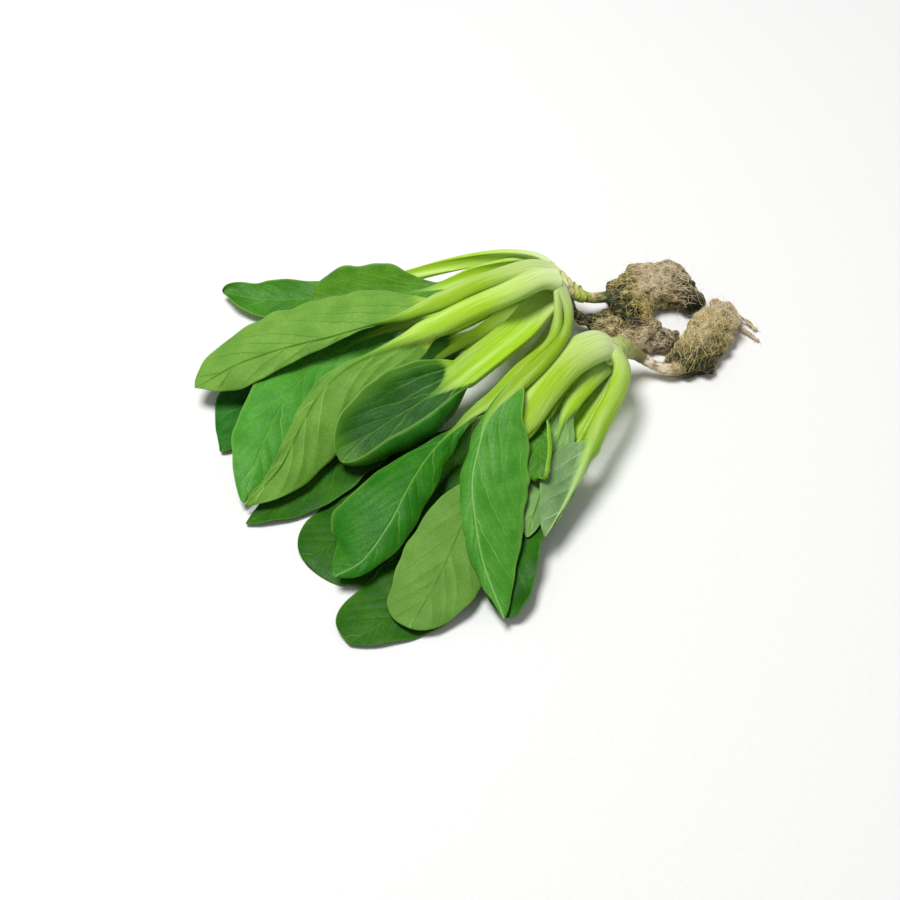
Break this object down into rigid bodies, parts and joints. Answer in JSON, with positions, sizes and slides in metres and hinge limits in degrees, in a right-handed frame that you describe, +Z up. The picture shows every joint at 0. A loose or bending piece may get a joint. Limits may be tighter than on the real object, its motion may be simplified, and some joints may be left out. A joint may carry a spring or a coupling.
{
  "type": "bok choy bunch",
  "caption": "Bunch of leafy bok choy heads with pale stalks, crowns and matted roots, picked and lying on its side to rest on a surface.",
  "frame": {"origin": "centre of the bunch's bounding box, on the surface it rests on", "axes": "+X from the leaf tips towards the roots, the longest side; +Y from front to back; +Z up, the shortest side"},
  "size_m": [0.365, 0.3242, 0.0578],
  "materials": {
    "leaf_dark": "glossy dark green leaf, upper side, with fine pale veins",
    "leaf_green": "satin mid-green leaf, upper side, with a pale midrib and fine veins",
    "leaf_underside": "matt light green leaf, underside, with raised veins",
    "leaf_grey": "matt grey-green leaf, underside, with pale veins",
    "stalk": "smooth satin pale lime stalk, whitish near the crown, finely streaked lengthwise",
    "crown": "satin whitish green with pale leaf scars, mottled at the neck",
    "root": "dull matted fibrous roots, mottled brown, tan and olive"
  },
  "bodies": {
    "root": {"root_a": "root", "crown_a": "crown", "root_b": "root", "crown_b": "crown", "leaf_a1_blade": "leaf_dark", "leaf_a1_stalk": "stalk", "leaf_a2_blade": "leaf_green", "leaf_a2_stalk": "stalk", "leaf_a3_blade": "leaf_underside", "leaf_a3_stalk": "stalk", "leaf_a4_blade": "leaf_dark", "leaf_a4_stalk": "stalk", "leaf_a5_blade": "leaf_green", "leaf_a5_stalk": "stalk", "leaf_a6_blade": "leaf_underside", "leaf_a6_stalk": "stalk", "leaf_a7_blade": "leaf_dark", "leaf_a7_stalk": "stalk", "leaf_a8_blade": "leaf_dark", "leaf_a8_stalk": "stalk", "leaf_a9_blade": "leaf_green", "leaf_a9_stalk": "stalk", "leaf_a10_blade": "leaf_green", "leaf_a10_stalk": "stalk", "leaf_a11_blade": "leaf_dark", "leaf_a11_stalk": "stalk", "leaf_b1_blade": "leaf_underside", "leaf_b1_stalk": "stalk", "leaf_b2_blade": "leaf_grey", "leaf_b2_stalk": "stalk", "leaf_b3_blade": "leaf_dark", "leaf_b3_stalk": "stalk", "leaf_b4_blade": "leaf_grey", "leaf_b4_stalk": "stalk", "leaf_b5_blade": "leaf_dark", "leaf_b5_stalk": "stalk", "leaf_b6_blade": "leaf_green", "leaf_b6_stalk": "stalk", "leaf_b7_blade": "leaf_dark", "leaf_b7_stalk": "stalk"}
  },
  "joints": []
}
